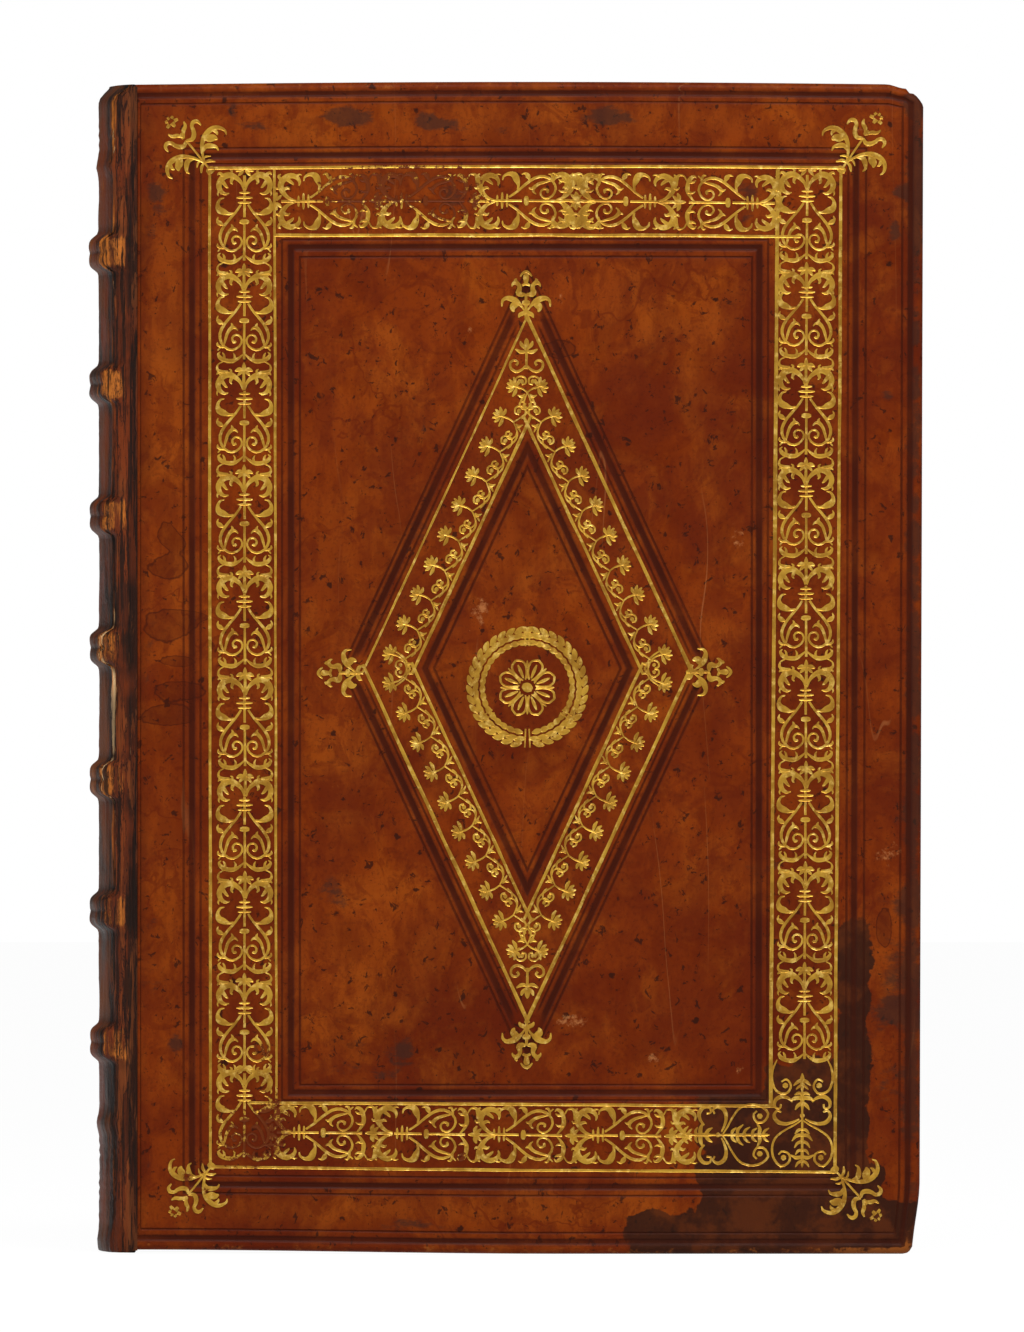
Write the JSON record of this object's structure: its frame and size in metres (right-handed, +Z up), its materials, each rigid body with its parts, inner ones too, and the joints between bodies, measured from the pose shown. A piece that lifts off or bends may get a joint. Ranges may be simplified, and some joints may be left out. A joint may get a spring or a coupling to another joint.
{
  "type": "antique leather-bound book",
  "caption": "Large antique folio in brown leather over boards, with raised bands on its spine, blind fillets, gilt borders and lozenge on the front, and covers that open.",
  "frame": {"origin": "centre of the closed book's footprint, on the surface that the tail edges of its covers stand on", "axes": "+Z up from tail to head, -Y out of the front cover, -X out of the spine"},
  "size_m": [0.2988, 0.0656, 0.42],
  "materials": {
    "leather": "satin",
    "paper": "matte",
    "pasteboard": "matte",
    "parchment": "satin",
    "hemp_cord": "matte",
    "endband_thread": "matte",
    "gold_leaf": "satin"
  },
  "bodies": {
    "block": {"text_block": "paper", "spine_leather": "leather", "sewing_cords": "hemp_cord", "spine_linings": "parchment", "head_endband": "endband_thread", "tail_endband": "endband_thread"},
    "front_cover": {"front_board": "pasteboard", "front_cord_slips": "hemp_cord", "front_pastedown": "paper", "front_leather": "leather", "front_gilt_border": "gold_leaf", "front_gilt_lozenge": "gold_leaf", "front_gilt_fleurons": "gold_leaf", "front_gilt_medallion": "gold_leaf"},
    "back_cover": {"back_board": "pasteboard", "back_cord_slips": "hemp_cord", "back_pastedown": "paper", "back_leather": "leather"}
  },
  "joints": [
    {"name": "front_cover_hinge", "type": "hinge", "parent": "block", "child": "front_cover", "pos_m": [-0.1334, -0.03295, 0.21], "axis": [0, 0, -1], "range_deg": [0, 180]},
    {"name": "back_cover_hinge", "type": "hinge", "parent": "block", "child": "back_cover", "pos_m": [-0.1334, 0.03295, 0.21], "axis": [0, 0, 1], "range_deg": [0, 180]}
  ]
}
